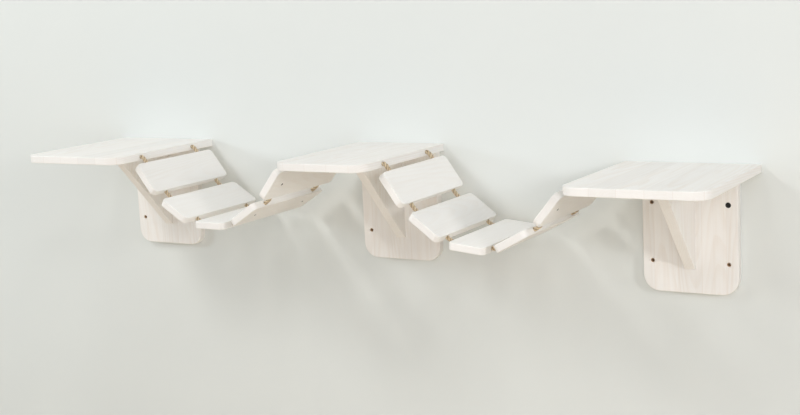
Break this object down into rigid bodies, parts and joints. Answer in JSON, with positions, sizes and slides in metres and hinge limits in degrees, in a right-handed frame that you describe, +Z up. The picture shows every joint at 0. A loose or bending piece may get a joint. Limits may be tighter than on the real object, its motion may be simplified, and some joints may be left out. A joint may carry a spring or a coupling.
{
  "type": "wall mounted cat tree",
  "caption": "Wall mounted cat tree: whitewashed pine platforms on triangular brackets, joined by hanging bridges of wooden slats on twisted jute ropes",
  "frame": {"origin": "on the wall, in the middle of the four screw holes of the middle shelf's back plate", "axes": "+X along the wall to the lower shelf, +Y into the wall, +Z up"},
  "size_m": [1.447, 0.345, 0.261],
  "materials": {
    "white_pine": "thin white glaze, satin, grain faintly showing",
    "beech": "bare, smooth",
    "jute_rope": "natural twisted fibre, matt",
    "zinc_screw": "zinc plated",
    "black_screw": "black phosphate, matt"
  },
  "bodies": {
    "shelves": {"left_back_plate": "white_pine", "left_front_rope": "jute_rope", "left_gusset": "white_pine", "left_gusset_dowels": "beech", "left_gusset_screws": "zinc_screw", "left_plate_dowels": "beech", "left_platform": "white_pine", "left_rear_rope": "jute_rope", "left_rope_pins": "black_screw", "middle_back_plate": "white_pine", "middle_gusset": "white_pine", "middle_gusset_dowels": "beech", "middle_gusset_screws": "zinc_screw", "middle_plate_dowels": "beech", "middle_platform": "white_pine", "middle_rope_pins": "black_screw", "right_back_plate": "white_pine", "right_front_rope": "jute_rope", "right_gusset": "white_pine", "right_gusset_dowels": "beech", "right_gusset_screws": "zinc_screw", "right_plate_dowels": "beech", "right_platform": "white_pine", "right_rear_rope": "jute_rope", "right_rope_pins": "black_screw", "wall_screw": "black_screw"},
    "left_slat_1": {"left_slat_1": "white_pine", "left_slat_1_pins": "black_screw"},
    "left_slat_2": {"left_slat_2": "white_pine", "left_slat_2_pins": "black_screw"},
    "left_slat_3": {"left_slat_3": "white_pine", "left_slat_3_pins": "black_screw"},
    "left_slat_4": {"left_slat_4": "white_pine", "left_slat_4_pins": "black_screw"},
    "left_slat_5": {"left_slat_5": "white_pine", "left_slat_5_pins": "black_screw"},
    "right_slat_1": {"right_slat_1": "white_pine", "right_slat_1_pins": "black_screw"},
    "right_slat_2": {"right_slat_2": "white_pine", "right_slat_2_pins": "black_screw"},
    "right_slat_3": {"right_slat_3": "white_pine", "right_slat_3_pins": "black_screw"},
    "right_slat_4": {"right_slat_4": "white_pine", "right_slat_4_pins": "black_screw"},
    "right_slat_5": {"right_slat_5": "white_pine", "right_slat_5_pins": "black_screw"}
  },
  "joints": [
    {"name": "left_bridge_sway", "type": "hinge", "parent": "shelves", "child": "left_slat_1", "pos_m": [-0.47, -0.1525, 0.118], "axis": [0, 1, 0], "range_deg": [-7, 7], "deforming": ["left_front_rope", "left_rear_rope"]},
    {"name": "left_slat_2_tilt", "type": "hinge", "parent": "left_slat_1", "child": "left_slat_2", "pos_m": [-0.40992, -0.1525, 0.04057], "axis": [0, 1, 0], "range_deg": [-7.14, 7.14]},
    {"name": "left_slat_3_tilt", "type": "hinge", "parent": "left_slat_2", "child": "left_slat_3", "pos_m": [-0.33225, -0.1525, -0.00873], "axis": [0, 1, 0], "range_deg": [-8.77, 8.77]},
    {"name": "left_slat_4_tilt", "type": "hinge", "parent": "left_slat_3", "child": "left_slat_4", "pos_m": [-0.24025, -0.1525, -0.00873], "axis": [0, 1, 0], "range_deg": [-8.77, 8.77]},
    {"name": "left_slat_5_tilt", "type": "hinge", "parent": "left_slat_4", "child": "left_slat_5", "pos_m": [-0.16257, -0.1525, 0.04057], "axis": [0, 1, 0], "range_deg": [-7.14, 7.14]},
    {"name": "right_bridge_sway", "type": "hinge", "parent": "shelves", "child": "right_slat_1", "pos_m": [0.1025, -0.1525, 0.118], "axis": [0, 1, 0], "range_deg": [-7, 7], "deforming": ["right_front_rope", "right_rear_rope"]},
    {"name": "right_slat_2_tilt", "type": "hinge", "parent": "right_slat_1", "child": "right_slat_2", "pos_m": [0.15882, -0.1525, 0.0378], "axis": [0, 1, 0], "range_deg": [-6.39, 6.39]},
    {"name": "right_slat_3_tilt", "type": "hinge", "parent": "right_slat_2", "child": "right_slat_3", "pos_m": [0.23223, -0.1525, -0.01765], "axis": [0, 1, 0], "range_deg": [-9.59, 9.59]},
    {"name": "right_slat_4_tilt", "type": "hinge", "parent": "right_slat_3", "child": "right_slat_4", "pos_m": [0.32371, -0.1525, -0.02741], "axis": [0, 1, 0], "range_deg": [-8.15, 8.15]},
    {"name": "right_slat_5_tilt", "type": "hinge", "parent": "right_slat_4", "child": "right_slat_5", "pos_m": [0.40459, -0.1525, 0.01644], "axis": [0, 1, 0], "range_deg": [-8.02, 8.02]}
  ],
  "couplings": [
    {"joint": "left_slat_2_tilt", "follows": "left_bridge_sway", "ratio": -1.0196},
    {"joint": "left_slat_3_tilt", "follows": "left_bridge_sway", "ratio": -1.2532},
    {"joint": "left_slat_4_tilt", "follows": "left_bridge_sway", "ratio": 1.2532},
    {"joint": "left_slat_5_tilt", "follows": "left_bridge_sway", "ratio": 1.0196},
    {"joint": "right_slat_2_tilt", "follows": "right_bridge_sway", "ratio": -0.913},
    {"joint": "right_slat_3_tilt", "follows": "right_bridge_sway", "ratio": -1.3695},
    {"joint": "right_slat_4_tilt", "follows": "right_bridge_sway", "ratio": 1.1645},
    {"joint": "right_slat_5_tilt", "follows": "right_bridge_sway", "ratio": 1.1462}
  ]
}
